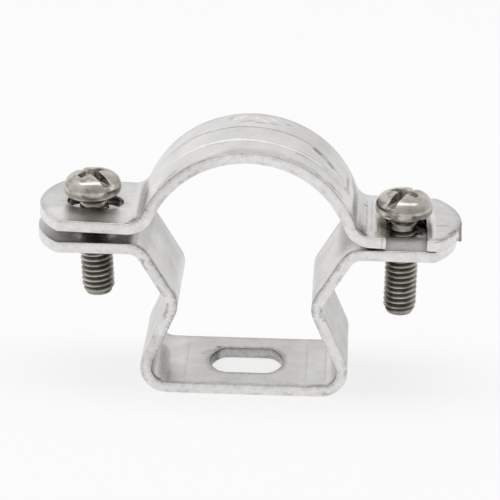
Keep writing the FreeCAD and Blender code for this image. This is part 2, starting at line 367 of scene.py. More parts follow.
def sheet_mesh(name, path, loops, shape, marks, jagged, flare, seed):
    """Mesh of a bent strip, and its points in the blank.

    The shape lifts the upper and lower faces, and the flare pushes the cut edges out. The marks
    are those of the upper face and of the cut edges, and a function for the lower face's shade.
    """
    face_marks, edge_marks, under_shade = marks
    half = path.length / 2
    levels = edge_levels()
    flats, heights, cuts, lips = [], [], [], []
    for number, (distance, height) in enumerate(levels):
        for loop_index, loop in enumerate(loops):
            ragged = wave(loop, 0.9, seed + loop_index) + 0.6 * wave(loop, 2.6, seed + 3)
            on_side = 1.0 if distance < SHEARED_EDGE / 2 else 0.4
            moved = inset(loop, 1.0) - loop
            shift = distance + EDGE_WAVE * on_side * np.maximum(ragged + 0.5, 0)
            if flare:
                shift = shift - flare(loop, height / SHEET)
            flats.append(loop + moved * shift[:, None])
            heights.append(np.full(len(loop), height))
            on_cut = 0.0 if number in (0, len(levels) - 1) else 1.0
            cuts.append(np.full(len(loop), on_cut))
            lips.append(np.full(len(loop), SHEET - height - distance))
    ring_size = sum(len(loop) for loop in loops)
    starts = np.cumsum([len(loop) for loop in loops])[:-1]
    upper_loops = np.split(np.concatenate(flats[:len(loops)]), starts)
    lower_loops = np.split(np.concatenate(flats[-len(loops):]), starts)
    upper_grid, upper_faces = face_triangles(upper_loops, half, UPPER_GRID)
    lower_grid, lower_faces = face_triangles(lower_loops, half, LOWER_GRID)
    upper_first = ring_size * len(levels)
    lower_first = upper_first + len(upper_grid)
    flat = np.concatenate(flats + [upper_grid, lower_grid])
    height = np.concatenate(heights + [np.full(len(upper_grid), SHEET),
                                       np.zeros(len(lower_grid))])
    cut = np.concatenate(cuts + [np.zeros(len(upper_grid) + len(lower_grid))])
    inward = edge_distance(flat[upper_first:], loops)
    over = -inward[:len(upper_grid)]
    under = SHEET + inward[len(upper_grid):]
    lip = np.concatenate(lips + [over, under])

    faces = []
    last_ring = upper_first - ring_size
    upper = np.where(upper_faces < ring_size, upper_faces, upper_faces - ring_size + upper_first)
    lower = np.where(lower_faces < ring_size, lower_faces + last_ring,
                     lower_faces - ring_size + lower_first)
    faces += [tuple(face) for face in upper.tolist()]
    faces += [tuple(face[::-1]) for face in lower.tolist()]
    for upper_ring in range(0, last_ring, ring_size):
        lower_ring = upper_ring + ring_size
        faces += [(upper_ring + a, lower_ring + a, lower_ring + b, upper_ring + b)
                  for a, b in loop_edges(loops)]

    share = height / SHEET
    lift = shape(flat, share) + share * marked(flat, face_marks, 5)
    lift += SURFACE_WAVE * (wave(flat, 0.12, seed) + 0.5 * wave(flat, 0.35, seed + 1))
    points, normals = path.at(flat[:, 0])
    section = points + normals * (height + lift)[:, None]
    verts = np.stack([section[:, 0], flat[:, 1], section[:, 1]], 1)
    mesh = bpy.data.meshes.new(name)
    mesh.from_pydata((verts * MM).tolist(), [], faces)
    mesh.shade_smooth()
    shade = np.where(cut > 0, marked(flat, edge_marks, 6),
                     share * marked(flat, face_marks, 6) + (1 - share) * under_shade(flat))
    shade = np.clip(shade, -1, 1)
    add_layers(mesh, blank=np.column_stack([flat, height]), cut=cut, lip=lip, shade=shade,
               jagged=jagged(flat))
    return linked(name, mesh), flat


# ---------------------------------------------------------------- base bracket

CREASE = 10.95  # the foot's creases lie this far from its middle
BOW_SLOPE = 0.018
BOW_END = 14.0  # the lift grows up to here and is gone at BOW_FADE
BOW_FADE = 19.0
HOLE_PLACE = 53.7  # how far the tapped holes lie from the middle of the blank
SLOT_SMOOTHING = 8  # times that the fixing slot's outline is evened out
SLOT_SHIFT = (0.1, 0.2)
# The screws lean, so each tapped hole is opened sideways to leave them room to travel.
HINGE_SCREW_ROOM = (-0.08, 0.50)
LOCK_SCREW_ROOM = (-0.20, 0.06)

# Marks on the upper face, as marked() takes them.
BASE_MARKS = [
    (-10.85, 0.2, 9.6, 0.24, 90, -0.02, -0.14),  # creases across the foot, with painted shade in them and painted light outside them
    (-12.6, 0.2, 9.6, 1.6, 90, 0, 0.12),
    (10.95, 0.2, 9.6, 0.2, 90, -0.04, -0.46),
    (12.8, 0.2, 9.6, 1.75, 90, 0, 0.1),
    (0, 0, 10.6, 16, 0, 0, -0.12),
    (-15.4, -2.5, 7.6, 2, 97, -0.05, -0.52),  # painted shade and painted light at the starts of the bottom bends
    (14.9, 0, 9.6, 0.35, 90, -0.03, -0.22),
    (15.8, 0, 9.6, 0.5, 90, 0.02, 0.22),
    (16.9, 0, 9.6, 0.7, 90, -0.02, -0.14),
    # painted shade in the bends up to the ears, under the strap
    (44.6, 1, 9.6, 2.8, 90, 0, -0.52),
    (-43.6, 0, 9.8, 2.2, 90, 0, -0.16),
    (-38.5, 0, 9.8, 4, 90, 0, -0.12),
    (-HOLE_PLACE, 0, 7.4, 8.6, 0, 0, -0.75),  # painted shade on the ear round the hinge screw's hole, under the strap
    (-7.3, 3.2, 1.6, 0.7, 50, -0.03, -0.3),  # round the fixing slot
    (-5.2, 5.5, 0.7, 0.5, 0, -0.05, -0.75),
    (HOLE_PLACE - 0.2, -6.2, 5.6, 5, 0, 0, 0.68),  # painted light on the ear inside the fork, which is also rougher there
    # painted shade on the ear behind the lock screw
    (HOLE_PLACE, 1.6, 5.4, 5.2, 0, 0, -1.9),
    (-17.6, -9.5, 2.6, 0.55, 0, -0.06, -1),  # painted shade in the crevices at the front corners
    (18.2, -9.6, 1.5, 0.5, 0, -0.05, -0.8),
    (13.6, -9.4, 1.7, 0.4, 0, -0.05, -0.55),
    (-4.2, 5.6, 0.7, 0.4, 50, 0.1, 0.35),  # burr at the slot
    (-33.6, -8.8, 2.2, 0.7, 12, -0.05, -0.75),  # torn places at the waist and the legs
    (35.6, -9.1, 1.6, 0.6, 0, -0.05, -0.65),
    (34.4, -6.6, 0.8, 0.5, 20, -0.03, -0.4),
]

# Marks on the cut edges.
BASE_EDGE_MARKS = [
    (-23.5, -10, 3.6, 0.3, 0, 0, -0.15),
    (-39.5, -10, 4.5, 0.3, 0, 0, -0.05),
    (-46.2, -10, 0.9, 1, 0, 0, 0.25),
    (29.5, -10, 3, 1, 0, 0, 0.2),
    (23, -10, 3, 1, 0, 0, 0.15),
    (0, -10, 16, 0.3, 0, 0, 0.05),
    (26, -10, 3.6, 0.3, 0, 0, 0.35),
    (0, 0, 12, 9.5, 0, 0, -0.62),  # the slot's walls are duller
    (-6.2, 2, 1.4, 6, 0, 0, -0.35),
]


def base_shape(flat, share):
    """The foot is bowed a little: flat between its creases, lifted outside them."""
    beyond = np.clip(np.abs(flat[:, 0]) - CREASE, 0, BOW_END - CREASE)
    fading = np.clip((BOW_FADE - np.abs(flat[:, 0])) / (BOW_FADE - BOW_END), 0, 1)
    return BOW_SLOPE * beyond * fading


def base_under(flat):
    """Painted shade on the lower face: the legs are darker outside, most at the lock side."""
    return np.interp(flat[:, 0], [-45, -32, -20, -18, 18, 20, 31, 33, 46],
                     [-0.12, -0.15, -0.15, 0, 0, -0.40, -0.40, -0.15, -0.15])


def base_jagged(flat):
    """How torn the front edge is: most along the legs, least across the foot."""
    place = np.abs(flat[:, 0])
    torn = np.interp(place, [0, 13, 15.5, 19, 22, 26, 30, 45, 47, 50],
                     [0.5, 0.6, 1.0, 1.0, 0.7, 0.8, 1.0, 1.0, 0.5, 0.35])
    at_slot = (place < 7.5) & (np.abs(flat[:, 1]) < 6)
    return np.where(at_slot, 0.9, torn * np.where(flat[:, 1] < 0, 1.0, 0.55))


def make_base():
    path = base_path()
    half = path.length / 2
    to_flat = half - BASE_LENGTH / 2
    left = SCREW_OFFSET - SCREW_SPACING / 2 - to_flat
    right = SCREW_OFFSET + SCREW_SPACING / 2 + to_flat
    tapped = []
    for place, sideways in ((left, HINGE_SCREW_ROOM), (right, LOCK_SCREW_ROOM)):
        run = (sideways[1] - sideways[0]) / 2
        tapped.append(hole((place + sum(sideways) / 2, 0), run, TAPPED_RADIUS, TAPPED_RADIUS))
    slot = hole((0, 0), 0, FIXING_SLOT_LENGTH / 2, FIXING_SLOT_WIDTH / 2)
    slot = smoothed(slot, SLOT_SMOOTHING)
    loops = [blank_outline(half)] + tapped + [slot + SLOT_SHIFT]
    marks = (BASE_MARKS, BASE_EDGE_MARKS, base_under)
    piece, _ = sheet_mesh("bracket_sheet_metal", path, loops, base_shape, marks, base_jagged,
                          None, 1)
    return piece


# ---------------------------------------------------------------- top strap

# Edges of the rib as (s, y): it is a little askew, and narrows to its ends.
RIB_BACK = [(-19.5, 4.6), (-16.6, 4.4), (-13.0, 3.9), (-9.5, 3.5), (-6.7, 2.95), (-2.5, 2.85),
            (2.5, 2.55), (8.0, 2.45), (10.0, 2.35), (11.8, 2.0), (13.8, 1.2), (15.6, 0.1),
            (17.0, -0.6), (20.5, -1.6)]
RIB_FRONT = [(-19.5, 2.6), (-17.5, 1.0), (-15.5, -1.3), (-13.1, -2.4), (-9.1, -2.9),
             (-3.8, -3.5), (0.3, -3.95), (5.4, -4.4), (10.0, -4.25), (14.3, -3.9),
             (16.9, -3.3), (18.4, -2.8), (20.5, -1.9)]
LIP_PLACE = (43.6, -2.3)  # middle of the torn lip at the lock ear's tip
LIP_REACH = 2.4
LIP_FLARE = 0.6  # how far it stands out, and how far it hangs down
LIP_DROP = 0.7
LIP_START = 42.3  # the lip hangs down beyond this distance along the strap
RIB_SHOULDER = 0.45  # width of the slope up to the rib's top
HINGE_HOLE_PLACE = -34.1  # middle of the hinge hole along the blank

# Marks on the upper face, as marked() takes them.
STRAP_MARKS = [
    (-26.4, 2, 7.7, 0.34, 90, 0.08, 0.4),  # the hinge side's bend: a ridge with a painted highlight, and a recess with painted shade
    (-24.7, 0.2, 9.2, 1.2, 90, -0.12, -0.72),
    (-23.3, -2.6, 7, 0.95, 90, -0.08, -0.85),
    (-22.2, -4.5, 4.4, 0.65, 90, -0.05, -0.7),
    (-23.3, -5.8, 1, 0.9, 30, -0.05, -0.85),
    (-26, -8.5, 1.4, 0.9, 0, -0.04, -0.75),
    (-27.5, -9.3, 0.45, 0.4, 0, -0.06, -0.95),
    (-27.5, -5, 0.5, 1.4, 0, 0.04, 0.4),
    (22.4, -0.5, 9.4, 1, 90, -0.1, -0.85),  # the lock side's bend and the die's ridges, with painted shade in the recess and painted highlights and shade across the ridges
    (23.5, 2, 6.2, 0.65, 90, -0.05, -0.6),
    (23.5, -6, 3.4, 0.4, 90, -0.05, -0.6),
    (24.6, 0.4, 7.9, 0.62, 90, 0.05, 0.26),
    (25.6, 0.4, 7.9, 0.3, 90, -0.03, -0.16),
    (26.6, 0.2, 7.9, 0.3, 90, -0.05, -0.36),
    (27.2, 0.2, 7.8, 0.34, 90, 0.03, 0.16),
    (27.9, 0.2, 7.8, 0.26, 90, -0.03, -0.22),
    (28.5, 0.4, 7.6, 0.34, 90, 0.07, 0.5),
    (25.4, -8.7, 2, 0.8, 0, -0.05, -0.55),
    (26.3, 4.6, 0.5, 0.5, 0, -0.05, -0.6),
    (11.3, 0.7, 1.1, 1.1, -35, -0.1, -0.66),  # dents along the rib's back, with painted shade in them and a painted highlight on a bump beside them
    (12.8, 0.1, 0.6, 0.6, -30, -0.04, -0.35),
    (14.3, -0.5, 1, 1.1, -35, -0.1, -0.6),
    (11, -0.6, 0.9, 0.8, -30, 0.05, 0.3),
    (19.4, 1, 4, 0.5, 92, -0.08, -0.72),  # streaks across, where the arc ends
    (18.6, -2.4, 1, 0.5, 60, -0.04, -0.45),
    (20.5, 1, 3.4, 0.34, 92, 0.04, 0.25),
    (21.3, 6.6, 2.6, 0.5, 90, -0.05, -0.5),
    (8.6, -4.6, 1.4, 0.34, 10, -0.04, -0.4),
    (9, -8.8, 3.6, 0.9, 0, -0.03, -0.22),  # rubbed places along the front
    (14.6, -8.9, 1.2, 0.6, 0, -0.05, -0.45),
    (0, -8.7, 6, 1.2, 0, -0.03, -0.2),
    (-15, -8.2, 1.8, 1, 10, -0.05, -0.4),
    (-17.4, -8.4, 0.8, 0.6, 30, -0.05, -0.5),
    (15.4, -8.4, 1, 0.6, -20, -0.06, -0.5),
    (17.2, -7.9, 0.9, 0.5, -12, -0.06, -0.5),
    (12.2, -9, 1, 0.5, 0, -0.05, -0.4),
    (-2.6, 7.5, 1.7, 0.42, 30, 0.12, 0.8),  # scuffs on the crown
    (-1.4, 5.9, 1.4, 0.34, 12, -0.07, -0.5),
    (0.2, 7.4, 0.9, 0.4, 60, 0.1, 0.7),
    (1.6, 6.3, 0.7, 0.4, -30, 0.09, 0.7),
    (0.9, 5.3, 1.2, 0.32, 0, -0.07, -0.5),
    (2.9, 7.6, 1.4, 0.36, -22, 0.1, 0.75),
    (3.2, 5.6, 1, 0.34, 15, -0.05, -0.4),
    (-3.9, 5.4, 0.9, 0.34, 20, 0.06, 0.4),
    (-4.2, 7.9, 0.5, 1.2, 0, 0, -0.25),
    (5.8, 7.2, 0.6, 0.35, 20, -0.04, -0.55),
    (42, -5.5, 1.6, 0.26, 55, -0.05, -0.85),  # scratches on the lock side's ear
    (40.4, -2.6, 1.3, 0.26, 8, -0.03, -0.45),
    (42.4, -7.6, 0.6, 0.5, 0, -0.05, -0.75),
    (39.6, -9, 1.2, 0.6, 10, -0.03, -0.4),
    (38.7, -1.5, 8, 0.36, 90, 0.04, 0.42),  # beside the fork: a ridge with a painted highlight, a groove with painted shade, and painted shade from the screw's head on the arm
    (37.9, -1.5, 8, 0.42, 90, -0.12, -0.45),
    (30, -2.5, 6.5, 0.6, 90, -0.1, -0.1),
    (HINGE_HOLE_PLACE, -6.5, 9, 4, 0, 0, 0.3),  # painted light on the ear round the screw's head, which is also rougher there
    (-37, 0, 8.6, 14, 0, 0, -0.15),  # the ears are duller than the arc
    (37, 0, 8.6, 14, 0, 0, -0.13),
    # painted shade on the lock side of the arc
    (15, 2, 8, 12, 0, 0, -0.1),
]

# Marks on the cut edges.
STRAP_EDGE_MARKS = [
    (43.9, -2.4, 2.4, 1.5, 90, 0, -1),  # painted shade on the torn lip at the lock side's tip
    (HINGE_HOLE_PLACE, 0, 5.6, 4.2, 0, 0, -0.9),  # painted shade in the hinge hole
    (29.5, -10, 0.3, 1, 0, 0, -0.3),
    (28.4, -10, 1, 1, 0, 0, 0.45),
    (38.2, -10, 0.7, 1, 0, 0, 0.35),
    (-14, -10, 9, 0.3, 0, 0, -0.1),
    (-35, -10, 7, 0.3, 0, 0, -0.04),
]


def edge_gap(points, place, reach):
    """0 at a place and 1 at a distance from it, and hardly more than 0 for half of the way."""
    off = np.hypot(points[:, 0] - place[0], points[:, 1] - place[1]) / reach
    return off ** 4


def strap_flare(points, share):
    """The lock ear's tip has a torn lip that stands out of its lower edge."""
    return LIP_FLARE * (1 - share) * np.clip(1 - edge_gap(points, LIP_PLACE, LIP_REACH), 0, None)


def rib(flat, narrower):
    """Height of the pressed rib, which fades out along the arc."""
    angle = np.degrees(flat[:, 0] / (ARC_RADIUS + SHEET / 2))
    middle = (RIB_RIGHT_ANGLE - RIB_LEFT_ANGLE) / 2
    half_angle = (RIB_RIGHT_ANGLE + RIB_LEFT_ANGLE) / 2
    along = np.clip(1 - ((angle - middle) / half_angle) ** 4, 0, None)
    back = np.interp(flat[:, 0], *zip(*RIB_BACK)) - narrower
    front = np.interp(flat[:, 0], *zip(*RIB_FRONT)) + narrower
    from_edge = np.minimum(back - flat[:, 1], flat[:, 1] - front)
    across = np.clip(from_edge / RIB_SHOULDER + 0.5, 0, 1)
    return RIB_HEIGHT * along * across


def strap_shape(flat, share):
    edge = np.clip(1 - edge_gap(flat, LIP_PLACE, LIP_REACH), 0, 1)
    drop = LIP_DROP * edge * np.clip((flat[:, 0] - LIP_START) / LIP_REACH, 0, 1)
    return share * rib(flat, 0.0) + (1 - share) * (rib(flat, RIB_DRAFT) - drop)


def strap_jagged(flat):
    """How torn the front edge is: all along the arc, a little on the ears."""
    torn = np.interp(flat[:, 0], [-27, -24, -20, -12, -5, 6, 10, 19, 23, 26, 39, 40.5],
                     [0.35, 0.8, 0.85, 0.8, 0.55, 0.5, 0.3, 0.3, 0.55, 0.35, 0.3, 0.8])
    return torn * np.where(flat[:, 1] < 0, 1.0, 0.55)


def fork_notch(to_flat):
    """Points of the fork's wall, from its left mouth corner round to its right one."""
    x = SCREW_SPACING / 2 + FORK_OFFSET + to_flat
    radius = FORK_WIDTH / 2
    mouth = -STRIP_WIDTH / 2
    end = arc_points((x, 0), radius, pi, 0)
    return (sampled((x - radius, mouth), (x - radius, 0)) + end
            + sampled((x + radius, 0), (x + radius, mouth)) + [np.array([x + radius, mouth])])


def make_strap():
    path = strap_path()
    half = path.length / 2
    to_flat = half - STRAP_LENGTH / 2
    hinge_place = (HINGE_HOLE_OFFSET - SCREW_SPACING / 2 - to_flat, 0)
    radius = HINGE_HOLE_WIDTH / 2
    loops = [blank_outline(half, fork_notch(to_flat)),
             hole(hinge_place, HINGE_HOLE_LENGTH / 2 - radius, radius, radius)]
    marks = (STRAP_MARKS, STRAP_EDGE_MARKS, lambda flat: np.zeros(len(flat)))
    piece, flat = sheet_mesh("strap_sheet_metal", path, loops, strap_shape, marks,
                             strap_jagged, strap_flare, 2)
    edges = np.stack([flat[:, 1] - np.interp(flat[:, 0], *zip(*RIB_FRONT)),
                      flat[:, 1] - np.interp(flat[:, 0], *zip(*RIB_BACK)),
                      np.interp(flat[:, 0], [-19, -15, 17, 20], [0, 1, 1, 0])], 1)
    add_layers(piece.data, rib=edges)
    contact = (BASE_LENGTH / 2 - STRAP_SHIFT) / cos(STRAP_TILT)
    height = EAR_HEIGHT + SHEET + REST_GAP + sin(STRAP_TILT) * contact
    place = Matrix.Translation(Vector((STRAP_SHIFT, 0, height)) * MM)
    piece.data.transform(place @ Matrix.Rotation(STRAP_TILT, 4, "Y"))
    return piece


base_piece = make_base()
strap_piece = make_strap()


# ---------------------------------------------------------------- screws

PITCH = 1.0
THREAD_DEPTH = 0.56
TIP_RADIUS = 2.25
TIP_LENGTH = 1.3  # how far the cone at the tip reaches up
RUN_OUT = 0.9  # where the thread fades into the neck
TURN_STEPS = 72  # points round a shank or a head
CREST_SHARE = 0.14  # share of the pitch that the crest's flat takes
ROOT_SHARE = 0.2
DRIVE_TOP = 1.75  # width of the slot at the crown, and at its floor
DRIVE_FLOOR = 1.4
DRIVE_DEPTH = 1.85
CROSS_TOP = (5.9, 1.65)  # length and width of each arm of the cross at the crown
CROSS_BOTTOM = (2.6, 0.8)
CROSS_DEPTH = 2.9
HEAD_VOXEL = 0.09
TOOL_RISE = 1.0  # how far the tools that cut the drive stand out of the head
STUB_SHARE = 0.6  # share of the neck that the head carries
OVERLAP_SHARE = 0.3  # share of the neck above the shank's top
# How much painted shade places get, where 1 is the root of the thread:
DRIVE_SHADE = 0.26  # in the drive, from a depth of DRIVE_EDGE over DRIVE_REACH
DRIVE_EDGE = 0.12
DRIVE_REACH = 1.3
NECK_SHADE = 0.25
TIP_SHADE = 0.35  # at the tip, as a share of the thread's own

HINGE_DRIVE_ANGLE = -51.0  # direction of each screw's slot
LOCK_DRIVE_ANGLE = 60.0
HINGE_LEAN = -2.3  # how far each screw leans, in degrees about Y
LOCK_LEAN = 0.6


def thread_profile():
    """(share of a pitch, depth share) of the rows in one pitch, from the crest down and up."""
    flank = (1 - CREST_SHARE - ROOT_SHARE) / 2
    root = CREST_SHARE + flank
    return [(0.0, 0.0), (CREST_SHARE, 0.0), (CREST_SHARE + flank * 0.5, 0.5), (root, 0.95),
            (root + ROOT_SHARE / 2, 1.0), (root + ROOT_SHARE, 0.95), (1 - flank * 0.5, 0.5)]


def shank_mesh(top):
    """Bmesh of a threaded shank that hangs from z = top."""
    rows = thread_profile()
    per_pitch = len(rows)
    bottom = -SCREW_LENGTH
    thread_top = -NECK_LENGTH
    turns = ceil((thread_top - bottom) / PITCH) + 3
    shank = bmesh.new()
    grid = []
    for row in range(turns * per_pitch):
        share, depth = rows[row % per_pitch]
        line = []
        for step in range(TURN_STEPS):
            angle = 2 * pi * step / TURN_STEPS
            z = bottom - 2 * PITCH + PITCH * (row // per_pitch + share + step / TURN_STEPS)
            z = min(max(z, bottom), thread_top)
            radius = THREAD_DIAMETER / 2 - THREAD_DEPTH * depth
            cone = TIP_RADIUS + (z - bottom) / TIP_LENGTH * (THREAD_DIAMETER / 2 - TIP_RADIUS)
            fade = min(max((z - thread_top + RUN_OUT) / RUN_OUT, 0.0), 1.0)
            radius = min(radius, cone) * (1 - fade) + NECK_DIAMETER / 2 * fade
            line.append(shank.verts.new((radius * cos(angle), radius * sin(angle), z)))
        grid.append(line)
    for row in range(len(grid) - per_pitch - 1):
        for step in range(TURN_STEPS):
            wraps = step + 1 == TURN_STEPS
            ahead = row + per_pitch if wraps else row
            after = 0 if wraps else step + 1
            corners = (grid[row][step], grid[ahead][after],
                       grid[ahead + 1][after], grid[row + 1][step])
            shank.faces.new(corners)
    bmesh.ops.remove_doubles(shank, verts=shank.verts, dist=1e-4)
    loose = [vert for vert in shank.verts if not vert.link_faces]
    bmesh.ops.delete(shank, geom=loose, context="VERTS")
    rim = [edge for edge in shank.edges
           if edge.is_boundary and edge.verts[0].co.z > thread_top - PITCH / 10]
    risen = bmesh.ops.extrude_edge_only(shank, edges=rim)["geom"]
    for vert in risen:
        if isinstance(vert, bmesh.types.BMVert):
            vert.co.z = top
    bmesh.ops.holes_fill(shank, edges=[edge for edge in shank.edges if edge.is_boundary])
    bmesh.ops.recalc_face_normals(shank, faces=shank.faces)
    return shank


def new_object(name, mesh_data):
    """Object made from a bmesh, which is freed."""
    mesh = bpy.data.meshes.new(name)
    mesh_data.to_mesh(mesh)
    mesh_data.free()
    return linked(name, mesh)


def modified(piece, kind, **settings):
    """Adds a modifier to a piece and applies it."""
    modifier = piece.modifiers.new(kind.lower(), kind)
    for key, value in settings.items():
        setattr(modifier, key, value)
    bpy.context.view_layer.update()
    depsgraph = bpy.context.evaluated_depsgraph_get()
    mesh = bpy.data.meshes.new_from_object(piece.evaluated_get(depsgraph))
    piece.modifiers.clear()
    piece.data = mesh


def joined_by(piece, other, operation):
    """Cuts a piece with another, or joins them, and drops the other."""
    modified(piece, "BOOLEAN", object=other, operation=operation, solver="EXACT")
    bpy.data.objects.remove(other)


def tapered_box(top, bottom, low, high):
    """Bmesh of a box whose lower face differs in size from its upper one."""
    block = bmesh.new()
    verts = []
    for z, (length, width) in ((low, bottom), (high, top)):
        for x, y in ((-1, -1), (1, -1), (1, 1), (-1, 1)):
            verts.append(block.verts.new((x * length / 2, y * width / 2, z)))
    sides = [(0, 1, 5, 4), (1, 2, 6, 5), (2, 3, 7, 6), (3, 0, 4, 7), (3, 2, 1, 0), (4, 5, 6, 7)]
    for side in sides:
        block.faces.new([verts[i] for i in side])
    return block


def head_profile():
    """(radius, z) from the seat's middle out, round the side and over the crown."""
    rim, seat, side = HEAD_DIAMETER / 2, HEAD_SEAT_ROUNDING, HEAD_SIDE_ROUNDING
    rise = HEAD_HEIGHT - HEAD_SIDE_START
    crown = ((rim - side) ** 2 + rise ** 2 - side ** 2) / (2 * (rise - side))
    crown_angle = atan2(rim - side, HEAD_SIDE_START - HEAD_HEIGHT + crown)
    arcs = [(rim - seat, seat, seat, pi, pi / 2, 6),
            (rim - side, HEAD_SIDE_START, side, pi / 2, crown_angle, 8),
            (0.0, HEAD_HEIGHT - crown, crown, crown_angle, 0.0, 8)]
    points = [(0.0, 0.0)]
    for radius, z, bend, first, last, count in arcs:
        for angle in np.linspace(first, last, count, endpoint=False):
            points.append((radius + bend * sin(angle), z + bend * cos(angle)))
    return points + [(0.0, HEAD_HEIGHT)]


def turned(points):
    """Bmesh of a closed solid of revolution about Z from (radius, z) points."""
    solid = bmesh.new()
    verts = [solid.verts.new((radius, 0, z)) for radius, z in points]
    edges = [solid.edges.new(pair) for pair in zip(verts, verts[1:])]
    bmesh.ops.spin(solid, geom=verts + edges, cent=(0, 0, 0), axis=(0, 0, 1),
                   angle=2 * pi, steps=TURN_STEPS, use_merge=True)
    bmesh.ops.remove_doubles(solid, verts=solid.verts, dist=1e-4)
    bmesh.ops.recalc_face_normals(solid, faces=solid.faces)
    return solid


def drive_head(name):
    """Pan head with a slot and a cross, with a stub of the neck under it."""
    profile = head_profile()
    stub = NECK_LENGTH * STUB_SHARE
    neck = NECK_DIAMETER / 2
    outline = [(0.0, -stub), (neck, -stub), (neck, 0.0)] + profile[1:]
    head = new_object(name, turned(outline))
    high = HEAD_HEIGHT + TOOL_RISE
    taper = (high - HEAD_HEIGHT + CROSS_DEPTH) / CROSS_DEPTH
    top = [b + (a - b) * taper for a, b in zip(CROSS_TOP, CROSS_BOTTOM)]
    low = HEAD_HEIGHT - CROSS_DEPTH
    widening = (DRIVE_TOP - DRIVE_FLOOR) * (high - HEAD_HEIGHT + DRIVE_DEPTH) / DRIVE_DEPTH
    across = HEAD_DIAMETER + 2 * TOOL_RISE
    slot = tapered_box((across, DRIVE_FLOOR + widening), (across, DRIVE_FLOOR),
                       HEAD_HEIGHT - DRIVE_DEPTH, high)
    joined_by(head, new_object("slot_tool", slot), "DIFFERENCE")
    for turn in (0, pi / 2):
        arm = tapered_box(top, CROSS_BOTTOM, low, high)
        arm.transform(Matrix.Rotation(turn, 4, "Z"))
        joined_by(head, new_object("cross_tool", arm), "DIFFERENCE")
    modified(head, "REMESH", mode="VOXEL", voxel_size=HEAD_VOXEL, adaptivity=0.0)
    modified(head, "SMOOTH", factor=0.5, iterations=5)
    return head


def groove_depths(mesh):
    """How much painted shade each point of a screw gets, from 0 to 1, by how deep it lies in the
    thread or the drive, and on the neck.
    """
    places = np.zeros(len(mesh.vertices) * 3)
    mesh.vertices.foreach_get("co", places)
    x, y, z = places.reshape(-1, 3).T
    radius = np.hypot(x, y)
    in_thread = np.clip((THREAD_DIAMETER / 2 - radius) / THREAD_DEPTH, 0, 1)
    profile = np.array(head_profile()[1:])
    off = np.full(len(radius), 10.0)
    for (r0, z0), (r1, z1) in zip(profile, profile[1:]):
        run = np.array([r1 - r0, z1 - z0])
        share = ((radius - r0) * run[0] + (z - z0) * run[1]) / (run @ run)
        share = np.clip(share, 0, 1)
        off = np.minimum(off, np.hypot(radius - r0 - share * run[0], z - z0 - share * run[1]))
    in_drive = DRIVE_SHADE * np.clip((off - DRIVE_EDGE) / DRIVE_REACH, 0, 1)
    near_tip = np.clip((z + SCREW_LENGTH) / TIP_LENGTH, 0, 1)
    in_thread *= TIP_SHADE + (1 - TIP_SHADE) * near_tip
    in_thread = np.where(z > NECK_LENGTH * -1.1, NECK_SHADE, in_thread)
    return np.where(z < -NECK_LENGTH / 4, in_thread, in_drive * (z > HEAD_SEAT_ROUNDING / 2))


def make_screw(name, node, drive_angle, lean):
    """Screw in place of a node. It leans about Y at its tapped hole. Angles are in degrees."""
    low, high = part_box(node)
    seat = low.z / MM + SCREW_LENGTH
    x = (low.x + high.x) / 2 / MM
    head = drive_head(name)
    shank = new_object("shank", shank_mesh(-NECK_LENGTH * OVERLAP_SHARE))
    joined_by(head, shank, "UNION")
    add_layers(head.data, groove=groove_depths(head.data))
    head.data.transform(Matrix.Rotation(radians(drive_angle), 4, "Z"))
    pivot = Vector((0, 0, EAR_HEIGHT + SHEET / 2 - seat))
    tilt = Matrix.Translation(pivot) @ Matrix.Rotation(radians(lean), 4, "Y")
    tilt @= Matrix.Translation(-pivot)
    scale = Matrix.Diagonal((MM, MM, MM, 1))
    head.data.transform(scale @ Matrix.Translation((x, 0, seat)) @ tilt)
    head.data.shade_smooth()
    return head


hinge_screw = make_screw("hinge_screw_threaded", "hinge_screw", HINGE_DRIVE_ANGLE, HINGE_LEAN)
lock_screw = make_screw("lock_screw_threaded", "lock_screw", LOCK_DRIVE_ANGLE, LOCK_LEAN)


# ---------------------------------------------------------------- materials

BRACKET_LIGHT = (0.635, 0.62, 0.61, 1)
BRACKET_DARK = (0.545, 0.53, 0.52, 1)
STRAP_LIGHT = (0.74, 0.725, 0.715, 1)
STRAP_DARK = (0.645, 0.63, 0.62, 1)
CUT_LIGHT = (0.83, 0.815, 0.80, 1)
CUT_DARK = (0.74, 0.725, 0.71, 1)
TORN_DARK = (0.13, 0.125, 0.12, 1)
PAINTED_SHADE_AND_MARK_DARK = (0.11, 0.105, 0.095, 1)
PAINTED_LIGHT_AND_MARK_LIGHT = (0.93, 0.92, 0.90, 1)
STEEL_LIGHT = (0.61, 0.58, 0.53, 1)
STEEL_DARK = (0.40, 0.375, 0.335, 1)
STEEL_STAIN_AND_REFLECTION = (0.15, 0.13, 0.105, 1)
GROOVE_SHADE = (0.045, 0.040, 0.028, 1)
GREENISH = (0.965, 1.0, 0.98, 1)


